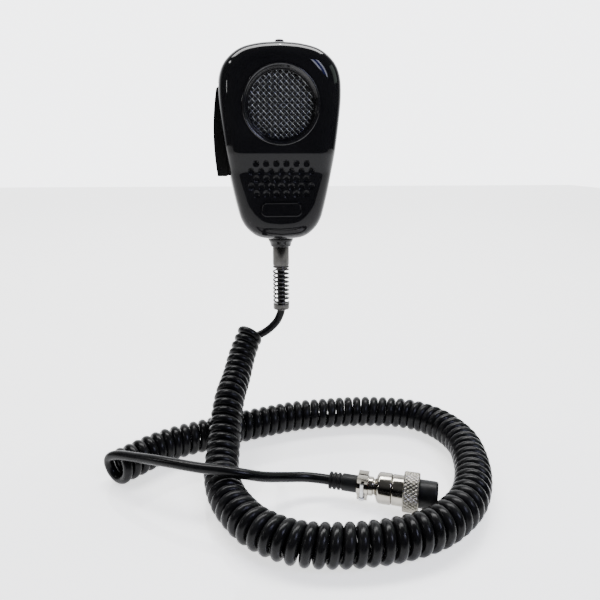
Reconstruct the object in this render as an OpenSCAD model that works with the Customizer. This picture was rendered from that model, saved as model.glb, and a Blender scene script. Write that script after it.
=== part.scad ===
// Hand microphone with a curly cord and a four-way locking plug.
// Origin: middle of the hang stud's head, on its inner face. +Y points out of the back,
// +Z up and +X to the viewer's right when the grille is seen. Millimetres.

/* [Shell] */
// Width of the shell at its widest
body_w = 66.6; // [56:0.1:80]
// Height of the shell, gland not counted
body_h = 105; // [88:1:126]
// Depth of the front shell, from parting plane to face
front_d = 19; // [17:0.5:23]
// Depth of the rear shell, from parting plane to back
back_d = 14; // [12:0.5:17]
// Wall thickness of both shells
wall = 2.2; // [1.8:0.1:2.6]
// Radius that rounds the front face into the sides
front_edge_r = 11; // [8:0.5:13]
// Radius that rounds the back into the sides
back_edge_r = 9; // [6:0.5:10]
// How far the lower panel is set back from the upper face
panel_set = 3.2; // [2:0.1:4]
// Height of the sloped band between upper face and lower panel
band_h = 9; // [5:0.5:12]

/* [Grille] */
// Radius of the raised lip round the grille
lip_r = 20.4; // [17:0.1:23]
// Width of the ring round the sound opening, lip and floor together
ring_w = 3.4; // [2.6:0.1:5]
// Distance of the grille's centre below the top of the shell
grille_drop = 32.5; // [30:0.5:38]
// Thickness of a mesh wire
mesh_wire = 0.6; // [0.4:0.05:0.8]
// Distance from wire to wire
mesh_pitch = 2.1; // [1.6:0.1:3]

/* [Grip] */
// Radius of a grip recess
dimple_r = 1.6; // [1.2:0.1:1.8]
// Depth of a grip recess
dimple_depth = 0.6; // [0.4:0.1:1]
// Distance between recesses along a row
dimple_pitch_x = 5.4; // [4.4:0.1:6]
// Distance between rows of recesses
dimple_pitch_z = 4; // [3.5:0.1:5]
// Width of the badge
badge_w = 22.5; // [16:0.5:26]
// Height of the badge
badge_h = 8; // [6:0.5:9]

/* [Press to talk] */
// Length of the bar
ptt_len = 48; // [40:1:56]
// Width of the bar, front to back
ptt_w = 12; // [9:0.5:14]
// How far the bar stands out of the side
ptt_out = 2.8; // [2:0.1:4]
// Radius of the bar's bowed outer face
ptt_bow_r = 140; // [110:5:200]
// Radius of the pivot pin
pin_r = 1.25; // [1:0.05:1.5]

/* [Hang stud] */
// Radius of the stud's head
stud_r = 6.3; // [5:0.1:7.5]
// Thickness of the stud's head
stud_t = 2.6; // [2:0.1:3.5]
// Space behind the head for the plate of a hang-up clip
stud_gap = 3; // [2.4:0.1:4]

/* [Strain relief] */
// Length of the nickel sleeve
sleeve_len = 12.5; // [10:0.5:16]
// Outer radius of the sleeve
sleeve_r = 4.85; // [4:0.05:5.2]
// Length of the spring
spring_len = 22; // [18:0.5:28]
// Thickness of the spring's wire
spring_wire = 1.1; // [0.8:0.05:1.3]

/* [Plug] */
// Radius of the coupling nut
nut_r = 8.8; // [8.6:0.1:9.6]
// Length of the coupling nut
nut_len = 7; // [6:0.5:8]
// Radius of the plug's barrel
barrel_r = 6.75; // [6.2:0.05:7]
// Radius of the insulating insert
insert_r = 6.2; // [5.6:0.1:6.4]
// Free length of the insert in front of the barrel
insert_len = 8.5; // [7:0.5:10]

/* [Hidden] */

$fn = 64;
eps = 0.02;
clearance = 0.3;
press_gap = 0.02;
run_gap = 0.06;
reach = 100;

bot_z = -70;
top_z = bot_z + body_h;
mid_z = (top_z + bot_z) / 2;
back_y = -stud_gap;
part_y = back_y - back_d;
face_y = part_y - front_d;
panel_y = face_y + panel_set;
side_x = -body_w / 2;

grille_z = top_z - grille_drop;
band_top = grille_z - lip_r - 4.1;
band_bot = band_top - band_h;
badge_z = min(bot_z + 18.6, band_bot - badge_h / 2 - 1);
badge_t = 0.8;
badge_sink = 0.4;
badge_corner = 3.2;

// Half outline of the shell from bottom to top: share of the half width, share of the height
half_outline = [
    [0, 0], [0.36, 0.013], [0.56, 0.053], [0.68, 0.107], [0.745, 0.175], [0.83, 0.3],
    [0.915, 0.46], [0.98, 0.64], [1, 0.755], [0.972, 0.845], [0.865, 0.912], [0.64, 0.967],
    [0.34, 0.992], [0, 1]
];
outline_steps = 4;
edge_turns = 6;

// Depths behind the face
ring_barrel_r = lip_r - 1;
mesh_r = lip_r - ring_w;
ring_depth = 2.6;
ring_floor = 0.8;
mesh_depth = ring_depth + ring_floor + 0.1;
foam_depth = mesh_depth + 2 * mesh_wire + 0.2;
foam_t = 2.2;
gasket_depth = foam_depth + foam_t + 0.2;
gasket_len = 9;
can_r = mesh_r - 3;
can_len = 8;
collar_wall = 2;

// Press-to-talk bar and its switch
ptt_top = top_z - 21;
ptt_bottom = ptt_top - ptt_len;
ptt_inner = side_x + 3.9;
ptt_pivot = [side_x + 3.3, ptt_top - 3.5];
ptt_boss_r = 3.2;
ptt_slot_in = side_x + 8.6;
lug_t = 2.6;
nub_z = ptt_bottom + 16.5;
nub_len = 1.9;
switch_x = side_x + 10.8;
switch_size = [7, 8.4, 12];
plunger_r = 1.2;
plunger_len = 8;
plunger_travel = 2.6;
spring_z = ptt_bottom + 6;
spring_seat_x = side_x + 12.9;
ptt_spring_r = 2.2;
ptt_spring_wire = 0.45;
ptt_cheek = [1.8, ptt_w / 2 - ptt_spring_r - ptt_spring_wire - 0.6, 12];

// Board, screws
board_size = [28, 1.6, 44];
board_z = grille_z - 16.5;
board_y = back_y - 9;
board_post_r = 2.5;
board_post_x = board_size[0] / 2 - 3.5;
board_post_dz = board_size[2] / 2 - 4.5;
board_screw_r = 1.1;
case_screw_r = 1.4;
case_head_r = 2.8;
case_head_t = 2;
case_boss_r = 3;
case_screw_places = [
    [-(body_w / 2 - 11.8), top_z - 11], [body_w / 2 - 11.8, top_z - 11],
    [-(body_w / 2 - 18.3), bot_z + 14], [body_w / 2 - 18.3, bot_z + 14]
];
lamp_r = 1.7;
lamp_y = part_y - 5;
stud_neck_r = 3.2;
stud_screw_r = 1.9;

// Gland and strain relief, down from the bottom of the shell
gland_r = 7.3;
gland_neck_r = 6.3;
gland_tip_r = sleeve_r + 0.5;
gland_seat = bot_z + 1;
gland_grip = bot_z + 5;
gland_end = bot_z - 4.1;
crimp_len = 4;
cord_r = 2.35;
cord_hole_r = cord_r + 0.15;
spring_start = gland_end - sleeve_len;
ferrule_start = spring_start - spring_len;
ferrule_end = ferrule_start - 3.5;
spring_pitch = 2.5;

// Where the plug's boot starts, and which way the plug points
plug_at = [17.5, -113, -167.4];
plug_turn = -19.5;

// Cord: outer radius of the coil, and the routes of the coil's middle and the straight ends
coil_r = 8.6;
coil_start = [-10.5, -17.5, -125.5];
lead_in_route = concat(
    [
        for (z = [gland_grip + crimp_len + 0.5, (gland_grip + gland_end) / 2, spring_start,
            (spring_start + ferrule_start) / 2, ferrule_end]) [0, part_y, z]
    ],
    [
        for (t = [[0.15, 0.42], [0.52, 0.8]])
            [coil_start[0] * t[0], part_y, ferrule_end + (coil_start[2] - ferrule_end) * t[1]]
    ],
    [coil_start]
);
coil_route = [
    [-18, -21, -124], [-23.5, -32, -134.5], [-27, -48, -143], [-30, -64, -147.5],
    [-31.5, -77.5, -154.5], [-32.5, -92.5, -163], [-32.5, -105.5, -166.9], [-29.5, -120, -167.6],
    [-24, -132.5, -167.6], [-15.5, -144, -167.6], [-1.5, -153, -167.6], [15, -156, -167.6],
    [33, -155.5, -167.6], [49, -152, -167.6], [62, -145.5, -167.6], [74.5, -134, -167.6],
    [83, -119.5, -167.6], [88.5, -103, -167.6], [91, -85.5, -167.6], [87.5, -69, -167.6],
    [80, -57.5, -167.6], [70, -50.5, -167.6], [57, -47, -167.6], [40, -45.5, -167.6],
    [23, -46.5, -167.6], [6.5, -48.5, -167.6], [-10, -53.5, -167.6], [-28.5, -60.5, -167.6],
    [-47, -68, -167.6], [-59, -73.5, -167.6], [-68, -80, -167.6], [-75.5, -87.5, -167.6],
    [-83.5, -95.5, -167.6]
];
lead_out_route = [
    [-84, -92, -161.4], [-74.5, -99.5, -159.2], [-64, -106, -157.2], [-53.5, -111.5, -156.2],
    [-42, -116.5, -155.8], [-31, -120, -155.6], [-22, -120.5, -157.4], [-13, -118, -161],
    [-2.5, -113.5, -164.6], [7.5, -111, -166.8], each [for (at = [0, 5, 11]) plug_point(at)]
];
lead_steps = 2;
coil_steps = 1;
cord_sides = 10;
coil_sides = 12;

// Plug, measured forward from the start of its boot
boot_r = 3.9;
boot_len = 15;
clamp_at = 13;
clamp_len = 5;
clamp_r = 4.6;
neck_r = 4.2;
barrel_at = 22;
groove_at = 28.5;
barrel_end = 40;
nut_at = 33.5;
nut_flange = 1;
nut_wall = 0.9;
nut_travel = 4.4;
clip_t = 0.8;
insert_back = 30;
contact_r = 1.2;
contact_ring = 2.9;
contact_count = 4;
contact_len = 12;

// ---- helpers

function unit(v) = v / norm(v);

// Point on the plug's axis
function plug_point(at) = plug_at + at * [cos(plug_turn), sin(plug_turn), 0];

// Catmull-Rom spline through a list of points, n steps a segment
function spline(p, n) = [
    for (i = [0 : len(p) - 2])
        let (a = p[max(i - 1, 0)], b = p[i], c = p[i + 1], d = p[min(i + 2, len(p) - 1)])
        for (k = [0 : n - 1])
            let (t = k / n)
            0.5 * (2 * b + (c - a) * t + (2 * a - 5 * b + 4 * c - d) * t * t
                + (3 * b - a - 3 * c + d) * t * t * t),
    p[len(p) - 1]
];

// Round tube along a path, its rings turned as little as possible
module tube(path, r, sides) {
    n = len(path);
    tangent = [for (i = [0 : n - 1]) unit(path[min(i + 1, n - 1)] - path[max(i - 1, 0)])];
    first = unit(cross(tangent[0], abs(tangent[0][2]) > 0.9 ? [1, 0, 0] : [0, 0, 1]));
    normal = [
        for (i = 0, v = first; i < n;
            i = i + 1, v = i < n ? unit(v - (v * tangent[i]) * tangent[i]) : v) v
    ];
    points = [
        for (i = [0 : n - 1])
            let (u = normal[i], w = cross(tangent[i], normal[i]))
            for (k = [0 : sides - 1])
                path[i] + r * (cos(360 * k / sides) * u + sin(360 * k / sides) * w)
    ];
    skin = [
        for (i = [0 : n - 2]) for (k = [0 : sides - 1])
            let (j = (k + 1) % sides)
            each [
                [i * sides + k, (i + 1) * sides + k, (i + 1) * sides + j],
                [i * sides + k, (i + 1) * sides + j, i * sides + j]
            ]
    ];
    ends = [[for (k = [0 : sides - 1]) k], [for (k = [sides - 1 : -1 : 0]) (n - 1) * sides + k]];
    polyhedron(points, concat(skin, ends), convexity = 10);
}

// Points of a helix along +Z
function helix(r, pitch, turns, per_turn) = [
    for (i = [0 : round(turns * per_turn)])
        let (a = 360 * i / per_turn) [r * cos(a), r * sin(a), pitch * i / per_turn]
];

// Whole outline of the shell as [x, z], inset towards its middle
function outline(inset) =
    let (
        right = spline(half_outline, outline_steps),
        n = len(right),
        left = [for (i = [n - 2 : -1 : 1]) [-right[i][0], right[i][1]]],
        sx = body_w / 2 - inset,
        sz = body_h - 2 * inset
    )
    [for (q = concat(right, left)) [q[0] * sx, mid_z + (q[1] - 0.5) * sz]];

// Solid bowl from the parting plane to depth d towards dir (-1 front, +1 back)
module bowl(d, edge, inset, dir, lead) {
    draft = 0.8;
    rings = concat(
        lead > 0 ? [[inset, -lead]] : [],
        [[inset, 0]],
        [for (k = [0 : edge_turns])
            let (a = 90 * k / edge_turns)
            [inset + draft + (edge - draft) * (1 - cos(a)), d - edge + edge * sin(a)]]
    );
    count = len(outline(0));
    points = [
        for (q = rings) for (o = outline(q[0])) [o[0], part_y + dir * q[1], o[1]]
    ];
    function turned(f) = dir > 0 ? f : [for (i = [len(f) - 1 : -1 : 0]) f[i]];
    skin = [
        for (i = [0 : len(rings) - 2]) for (k = [0 : count - 1])
            let (j = (k + 1) % count)
            each [
                turned([i * count + k, (i + 1) * count + j, (i + 1) * count + k]),
                turned([i * count + k, i * count + j, (i + 1) * count + j])
            ]
    ];
    rim = turned([for (k = [count - 1 : -1 : 0]) k]);
    cap = turned([for (k = [0 : count - 1]) (len(rings) - 1) * count + k]);
    polyhedron(points, concat(skin, [rim, cap]), convexity = 4);
}

// Turns a profile drawn as [radius, distance behind the face] round the grille's axis
module about_grille() {
    translate([0, face_y, grille_z]) rotate([-90, 0, 0]) rotate_extrude($fn = 96) children();
}

// Cylinder along +Y
module along_y(r, from, to, x = 0, z = 0) {
    translate([x, from, z]) rotate([-90, 0, 0]) cylinder(r = r, h = to - from);
}

module case_screw_spots() {
    for (p = case_screw_places) translate([p[0], 0, p[1]]) children();
}

module board_screw_spots() {
    for (x = [-1, 1], z = [-1, 1])
        translate([x * board_post_x, 0, board_z + z * board_post_dz]) children();
}

// ---- shells

// Everything in front of the sloped band's plane, moved inward by the wall
module band_cut(inward) {
    fall = band_h / panel_set;
    low_z = band_top - front_d * fall;
    rotate([90, 0, 90]) translate([0, 0, -reach]) linear_extrude(2 * reach) polygon([
        [face_y - 20, band_top], [face_y + inward, band_top + inward / 3],
        [part_y + inward, low_z + inward / 3], [face_y - 20, low_z + inward / 3]
    ]);
}

// Full depth above the band and set back below it, both with the same rounded edge
module front_form(inset, lead) {
    edge = front_edge_r - inset / 2;
    bowl(front_d - panel_set - inset, edge, inset, -1, lead);
    difference() {
        bowl(front_d - inset, edge, inset, -1, lead);
        band_cut(inset);
    }
}

// Openings that both shells share: the bar's slot, the gland's hole and seat
module shared_cuts() {
    translate([-reach, part_y - ptt_w / 2 - clearance - 0.1, ptt_bottom - 0.6])
        cube([reach + ptt_slot_in, ptt_w + 2 * clearance + 0.2, ptt_len + 1.4]);
    translate([0, part_y, bot_z - 20]) cylinder(r = gland_neck_r + 0.1, h = 40);
    translate([0, part_y, bot_z - 20]) cylinder(r = gland_r + 0.2, h = 20 + 1);
}

module pin_lug(from) {
    translate([side_x + 1.6, from, ptt_pivot[1] - 3.4]) cube([5.6, lug_t, 6.8]);
}

module dimples() {
    rows = max(1, 1 + floor((band_bot - badge_z - badge_h / 2) / dimple_pitch_z));
    first_z = band_bot - 0.2;
    for (row = [-1 : rows - 2]) {
        seven = abs(row) % 2 == 0;
        y = row < 0 ? face_y + panel_set * (band_top - first_z - dimple_pitch_z) / band_h : panel_y;
        for (i = [0 : seven ? 6 : 5])
            along_y(dimple_r, face_y - 1, y + dimple_depth,
                (i - (seven ? 3 : 2.5)) * dimple_pitch_x, first_z - row * dimple_pitch_z,
                $fn = 24);
    }
}

module badge_form(grow, from, to) {
    translate([0, from, badge_z]) rotate([-90, 0, 0]) linear_extrude(to - from) {
        square([badge_w - 2 * badge_corner + 2 * grow, badge_h + 2 * grow], center = true);
        square([badge_w + 2 * grow, badge_h - 2 * badge_corner + 2 * grow], center = true);
        for (x = [-1, 1], z = [-1, 1])
            translate([x * (badge_w / 2 - badge_corner), z * (badge_h / 2 - badge_corner)])
                circle(badge_corner + grow, $fn = 32);
    }
}

module front_shell() color([0.03, 0.03, 0.032]) {
    lug_y = part_y - ptt_w / 2 - clearance - 0.1 - lug_t;
    difference() {
        union() {
            difference() {
                front_form(0, 0);
                front_form(wall, 1);
            }
            intersection() {
                front_form(wall / 2, 0);
                union() {
                    case_screw_spots() along_y(case_boss_r, face_y, part_y);
                    pin_lug(lug_y);
                }
            }
            about_grille() polygon([
                [ring_barrel_r - 1, wall / 2], [ring_barrel_r + collar_wall, wall / 2],
                [ring_barrel_r + collar_wall, foam_depth + 2],
                [mesh_r + 2.4, foam_depth + 2], [mesh_r + 2.4, gasket_depth + 5],
                [mesh_r + 0.4, gasket_depth + 5], [mesh_r + 0.4, wall / 2]
            ]);
        }
        about_grille() square([ring_barrel_r + 0.1, foam_depth]);
        about_grille() square([mesh_r + 0.5, foam_depth + 20]);
        shared_cuts();
        case_screw_spots() along_y(case_screw_r, face_y + wall + 3, part_y + 1);
        along_y(pin_r + press_gap, lug_y - 1, part_y, ptt_pivot[0], ptt_pivot[1]);
        translate([0, lamp_y, top_z - 8]) cylinder(r = lamp_r + 0.05, h = 10);
        badge_form(0.1, panel_y - 10, panel_y + badge_sink);
        dimples();
    }
}

module rear_shell() color([0.035, 0.035, 0.037]) {
    lug_y = part_y + ptt_w / 2 + clearance + 0.1;
    inner_y = back_y - wall;
    difference() {
        union() {
            difference() {
                bowl(back_d, back_edge_r, 0, 1, 0);
                bowl(back_d - wall, back_edge_r - wall / 2, wall, 1, 1);
            }
            intersection() {
                bowl(back_d - wall / 2, back_edge_r - wall / 4, wall / 2, 1, 0);
                union() {
                    case_screw_spots() along_y(case_boss_r + 0.8, part_y, back_y);
                    pin_lug(lug_y);
                    board_screw_spots() along_y(board_post_r, board_y, back_y);
                    along_y(stud_neck_r + 2, inner_y - 1.2, back_y);
                    translate([spring_seat_x, part_y - 3.5, spring_z - 3.5])
                        cube([1.6, back_y - part_y + 3.5, 7]);
                }
            }
            translate([spring_seat_x, part_y - 3.5, spring_z - 3.5]) cube([1.6, 8, 7]);
        }
        shared_cuts();
        case_screw_spots() {
            along_y(case_screw_r + 0.2, part_y - 1, back_y + 1);
            along_y(case_head_r + 0.2, part_y + 6, back_y + 1);
        }
        board_screw_spots() along_y(board_screw_r + press_gap, board_y - 1, back_y - 2.6);
        along_y(pin_r + press_gap, part_y, lug_y + lug_t + 1, ptt_pivot[0], ptt_pivot[1]);
        along_y(stud_screw_r + 0.1, inner_y - 5, back_y + 1);
    }
}

// ---- grille, foam and capsule

module grille_ring() color([0.04, 0.04, 0.042]) about_grille() polygon([
    [ring_barrel_r - 0.9, 0], [ring_barrel_r - 0.5, -0.45], [ring_barrel_r + 0.2, -0.7],
    [lip_r - 0.3, -0.5], [lip_r, -eps], [ring_barrel_r, -eps],
    [ring_barrel_r, ring_depth + ring_floor], [mesh_r, ring_depth + ring_floor],
    [mesh_r, ring_depth], [ring_barrel_r - 0.9, ring_depth]
]);

module grille_mesh() color([0.55, 0.56, 0.57]) {
    wires = floor(mesh_r / mesh_pitch);
    rim_r = ring_barrel_r - 0.4;
    about_grille() translate([mesh_r + 0.2, mesh_depth])
        square([rim_r - mesh_r - 0.2, 2 * mesh_wire - 0.1]);
    for (layer = [0, 1])
        translate([0, face_y + mesh_depth + mesh_wire * (0.5 + 0.9 * layer), grille_z])
            rotate([0, layer == 0 ? 45 : -45, 0])
                for (i = [-wires : wires]) {
                    half = sqrt(pow(mesh_r + 0.8, 2) - pow(i * mesh_pitch, 2));
                    translate([i * mesh_pitch, 0, 0])
                        cube([mesh_wire, mesh_wire, 2 * half], center = true);
                }
}

module foam_screen() color([0.09, 0.09, 0.09])
    along_y(mesh_r - 0.2, face_y + foam_depth, face_y + foam_depth + foam_t, 0, grille_z);

module capsule_gasket() color([0.06, 0.06, 0.06]) about_grille() polygon([
    [can_r + 0.02, gasket_depth], [mesh_r + 0.35, gasket_depth],
    [mesh_r + 0.35, gasket_depth + gasket_len],
    [can_r + 0.02, gasket_depth + gasket_len]
]);

module capsule_can() color([0.75, 0.76, 0.77])
    difference() {
        along_y(can_r, face_y + gasket_depth + 0.3, face_y + gasket_depth + 0.3 + can_len,
            0, grille_z);
        for (a = [0 : 60 : 300])
            along_y(0.9, face_y + gasket_depth, face_y + gasket_depth + 1.2,
                8 * cos(a), grille_z + 8 * sin(a));
    }

// ---- press-to-talk bar, its pin, spring and switch

module ptt_bar() color([0.03, 0.03, 0.03]) {
    bulge_z = (ptt_top + ptt_bottom) / 2 - 4;
    difference() {
        union() {
            intersection() {
                translate([side_x - 10, part_y - ptt_w / 2, ptt_bottom])
                    cube([10 + ptt_inner - side_x, ptt_w, ptt_len]);
                translate([side_x - ptt_out + ptt_bow_r, part_y, bulge_z])
                    rotate([90, 0, 0])
                        cylinder(r = ptt_bow_r, h = 2 * reach, center = true, $fn = 240);
            }
            along_y(ptt_boss_r, part_y - ptt_w / 2, part_y + ptt_w / 2,
                ptt_pivot[0], ptt_pivot[1]);
            translate([ptt_inner - 1, part_y - 2, nub_z - 1.5]) cube([1 + nub_len, 4, 3]);
            for (y = [part_y - ptt_w / 2, part_y + ptt_w / 2 - ptt_cheek[1]])
                translate([ptt_inner - eps, y, ptt_bottom]) cube(ptt_cheek);
        }
        along_y(pin_r + run_gap, part_y - ptt_w, part_y + ptt_w, ptt_pivot[0], ptt_pivot[1]);
        translate([side_x - 12, part_y - ptt_w, ptt_top - 1.6]) rotate([0, -40, 0])
            cube([12, 2 * ptt_w, 14]);
    }
}

module ptt_pivot_pin() color([0.7, 0.7, 0.72])
    along_y(pin_r, part_y - ptt_w / 2 - lug_t - 0.3, part_y + ptt_w / 2 + lug_t + 0.3,
        ptt_pivot[0], ptt_pivot[1]);

module ptt_spring() color([0.7, 0.7, 0.72]) {
    free = spring_seat_x - ptt_inner - 2 * ptt_spring_wire - 0.1;
    turns = 5;
    translate([ptt_inner + ptt_spring_wire + 0.05, part_y, spring_z]) rotate([0, 90, 0])
        tube(helix(ptt_spring_r, free / turns, turns, 12), ptt_spring_wire, 6);
}

module switch_body() color([0.12, 0.12, 0.13])
    difference() {
        translate([switch_x, part_y - 3.3, nub_z - switch_size[2] / 2])
            cube([switch_size[0], board_y - board_size[1] - part_y + 3.3, switch_size[2]]);
        translate([switch_x - 1, part_y, nub_z]) rotate([0, 90, 0])
            cylinder(r = plunger_r + run_gap, h = 1 + plunger_len - 4.4 + plunger_travel);
    }

module switch_plunger() color([0.85, 0.85, 0.82])
    translate([ptt_inner + nub_len + 0.3, part_y, nub_z]) rotate([0, 90, 0])
        cylinder(r = plunger_r, h = switch_x - ptt_inner - nub_len + 2.6);

// ---- board, wiring and fasteners

module circuit_board() color([0.08, 0.3, 0.16])
    difference() {
        translate([-board_size[0] / 2, board_y - board_size[1], board_z - board_size[2] / 2])
            cube(board_size);
        board_screw_spots() along_y(board_screw_r + 0.1, board_y - 5, board_y + 5);
    }

module board_components() color([0.2, 0.2, 0.22]) {
    front = board_y - board_size[1];
    along_y(2.5, front - 5, front, 6, board_z - 8);
    along_y(2, front - 4.2, front, 5, board_z - 15);
    translate([-5, front - 1.6, board_z - 17]) cube([7, 1.6, 5]);
    for (i = [0 : 3]) translate([-4 + 4 * i, front - 0.6, board_z - 4]) cube([1.6, 0.6, 3]);
    translate([-6, front - 5, board_z - board_size[2] / 2 + 1]) cube([12, 5, 3.6]);
}

module board_screws() color([0.7, 0.7, 0.72])
    board_screw_spots() {
        along_y(board_screw_r, board_y - board_size[1] - 0.5, back_y - 3);
        along_y(2.1, board_y - board_size[1] - 1.4, board_y - board_size[1]);
    }

module hookup_wires() color([0.6, 0.12, 0.1]) {
    front = board_y - board_size[1];
    low = board_z - board_size[2] / 2;
    for (i = [-1 : 1])
        tube(spline([
            [1.3 * i, part_y, gland_grip + crimp_len + 0.8], [2 * i, part_y + 1, low - 16],
            [3.6 * i, front - 3, low - 6], [3.6 * i, front - 2.6, low + 0.8]
        ], 4), 0.5, 6);
    for (i = [-1, 1])
        tube(spline([
            [3 * i, face_y + gasket_depth + can_len + 0.5, grille_z - 5],
            [4 * i, part_y + 0.6, grille_z - 8], [5 * i, front - 1.5, grille_z - 9],
            [5 * i, front - 0.1, grille_z - 9]
        ], 3), 0.5, 6);
}

module indicator_lamp() color([0.25, 0.05, 0.04])
    translate([0, lamp_y, top_z - 6]) {
        cylinder(r = lamp_r, h = 6.2);
        translate([0, 0, 6.2]) intersection() {
            scale([1, 1, 0.6]) sphere(lamp_r - 0.1);
            cylinder(r = lamp_r, h = 3);
        }
        cylinder(r = lamp_r + 0.8, h = 1.5);
    }

module badge_plate() color([0.06, 0.06, 0.065])
    badge_form(0, panel_y + badge_sink - badge_t, panel_y + badge_sink - eps);

module case_screws() color([0.5, 0.5, 0.52])
    case_screw_spots() difference() {
        union() {
            along_y(case_screw_r - press_gap, face_y + wall + 5.4, part_y + 7);
            along_y(case_head_r, part_y + 6.05, part_y + 6.05 + case_head_t);
        }
        for (a = [0, 90]) rotate([0, a, 0])
            translate([-1.7, part_y + 5.05 + case_head_t, -0.3]) cube([3.4, 2, 0.6]);
    }

module hang_stud() color([0.72, 0.72, 0.73])
    rotate([-90, 0, 0]) difference() {
        union() {
            cylinder(r = stud_r, h = stud_t);
            translate([0, 0, -stud_gap + eps]) cylinder(r = stud_neck_r, h = stud_gap + 0.5);
            translate([0, 0, -stud_gap + eps]) cylinder(r = stud_neck_r + 1.8, h = 0.6);
        }
        translate([0, 0, -stud_gap - 1]) cylinder(r = stud_screw_r + press_gap,
            h = stud_gap + 2.2);
    }

module hang_stud_screw() color([0.6, 0.6, 0.62]) {
    head_y = back_y - wall - 1.2;
    along_y(stud_screw_r, head_y - 0.5, 0.9);
    along_y(3.4, head_y - 2.2, head_y - eps);
}

// ---- cord entry and strain relief

module cord_crimp() color([0.72, 0.58, 0.3])
    translate([0, part_y, gland_grip + 0.1]) difference() {
        cylinder(r = 4, h = crimp_len);
        translate([0, 0, -1]) cylinder(r = cord_hole_r, h = crimp_len + 2);
    }

module cord_gland() color([0.04, 0.04, 0.04])
    translate([0, part_y, 0]) rotate_extrude() polygon([
        [cord_hole_r, gland_grip], [gland_r, gland_grip], [gland_r, gland_grip - 1],
        [gland_neck_r, gland_grip - 1], [gland_neck_r, gland_seat - 0.1],
        [gland_r, gland_seat - 0.1], [gland_r - 0.2, bot_z - 0.8],
        [gland_tip_r, gland_end + 0.6], [gland_tip_r - 0.4, gland_end],
        [cord_hole_r, gland_end]
    ]);

module relief_sleeve() color([0.78, 0.78, 0.76])
    translate([0, part_y, 0]) rotate_extrude() polygon([
        [cord_hole_r, gland_end - eps], [sleeve_r, gland_end - eps], [sleeve_r, spring_start + 1.4],
        [sleeve_r - 0.35, spring_start + 1.2], [sleeve_r - 0.35, spring_start + 0.8],
        [sleeve_r, spring_start + 0.6], [sleeve_r, spring_start + eps],
        [cord_hole_r, spring_start + eps]
    ]);

module relief_spring() color([0.72, 0.72, 0.7]) {
    r = sleeve_r - spring_wire / 2 + 0.1;
    turns = (spring_len - spring_wire - 0.1) / spring_pitch;
    translate([0, part_y, ferrule_start + spring_wire / 2 + 0.05])
        tube(helix(r, spring_pitch, turns, 14), spring_wire / 2, 6);
}

module relief_ferrule() color([0.75, 0.75, 0.73])
    translate([0, part_y, 0]) rotate_extrude() polygon([
        [cord_hole_r, ferrule_start - eps], [sleeve_r, ferrule_start - eps],
        [sleeve_r, ferrule_end + 0.5], [sleeve_r - 0.4, ferrule_end],
        [cord_hole_r, ferrule_end]
    ]);

// ---- cord

module cord_lead_in() color([0.05, 0.05, 0.05])
    tube(spline(lead_in_route, lead_steps), cord_r, cord_sides);

module cord_coil() color([0.05, 0.05, 0.05])
    tube(spline(coil_route, coil_steps), coil_r, coil_sides);

module cord_lead_out() color([0.05, 0.05, 0.05])
    tube(spline(lead_out_route, lead_steps), cord_r, cord_sides);

// ---- plug

module on_plug(at = 0) {
    translate(plug_at) rotate([0, 0, plug_turn]) rotate([0, 90, 0])
        translate([0, 0, at]) children();
}

module plug_boot() color([0.05, 0.05, 0.05]) {
    rib = 1.1;
    groove = 0.9;
    on_plug() difference() {
        union() {
            cylinder(r = boot_r - 0.7, h = boot_len);
            for (i = [0 : 2]) translate([0, 0, i * (rib + groove)]) cylinder(r = boot_r, h = rib);
            translate([0, 0, 3 * (rib + groove)])
                cylinder(r = boot_r, h = boot_len - 3 * (rib + groove));
        }
        translate([0, 0, -1]) cylinder(r = cord_hole_r, h = boot_len + 2);
    }
}

module clamp_screw_spots() {
    for (z = [-1, 1]) translate([0, z * (clamp_r + 0.2), clamp_len / 2]) rotate([0, 90, 0])
        children();
}

module plug_clamp() color([0.74, 0.74, 0.72])
    on_plug(clamp_at) difference() {
        union() {
            cylinder(r = clamp_r, h = clamp_len);
            translate([-3, -clamp_r - 1.9, 0.4]) cube([6, 2 * clamp_r + 3.8, clamp_len - 0.8]);
        }
        translate([0, 0, -1]) cylinder(r = boot_r + 0.05, h = clamp_len + 2);
        translate([-0.4, -reach / 2, -1]) cube([0.8, reach, clamp_len + 2]);
        clamp_screw_spots() cylinder(r = 0.9, h = 10, center = true, $fn = 32);
    }

module clamp_screws() color([0.6, 0.6, 0.6])
    on_plug(clamp_at) clamp_screw_spots() difference() {
        union() {
            translate([0, 0, -3.4]) cylinder(r = 0.88, h = 6.6, $fn = 32);
            translate([0, 0, 3.05]) cylinder(r = 1.3, h = 1.1, $fn = 32);
        }
        translate([-2, -0.25, 3.7]) cube([4, 0.5, 2]);
    }

module plug_shell() color([0.8, 0.8, 0.78])
    on_plug() rotate_extrude() polygon([
        [cord_hole_r + 0.2, clamp_at + clamp_len + 0.05], [neck_r, clamp_at + clamp_len + 0.05],
        [neck_r, 20], [neck_r - 0.7, 20.3], [neck_r - 0.7, 20.9], [neck_r, 21.2],
        [barrel_r - 0.8, barrel_at], [barrel_r + 0.15, barrel_at + 0.8],
        [barrel_r + 0.15, groove_at - 0.4], [barrel_r - 0.2, groove_at],
        [barrel_r - 1.4, groove_at], [barrel_r - 1.4, barrel_at + 1.6],
        [cord_hole_r + 0.2, barrel_at + 1.6]
    ]);

module plug_sleeve() color([0.8, 0.8, 0.78])
    on_plug() difference() {
        rotate_extrude() polygon([
            [insert_r - 0.75, groove_at + 0.02], [barrel_r - 0.35, groove_at + 0.02],
            [barrel_r, groove_at + 0.5], [barrel_r, barrel_end - 0.3],
            [barrel_r - 0.25, barrel_end], [insert_r - 0.75, barrel_end]
        ]);
        translate([0, 0, insert_back + 1.2]) rotate([0, -90, 0])
            cylinder(r = 0.8, h = 20, $fn = 32);
    }

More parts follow.
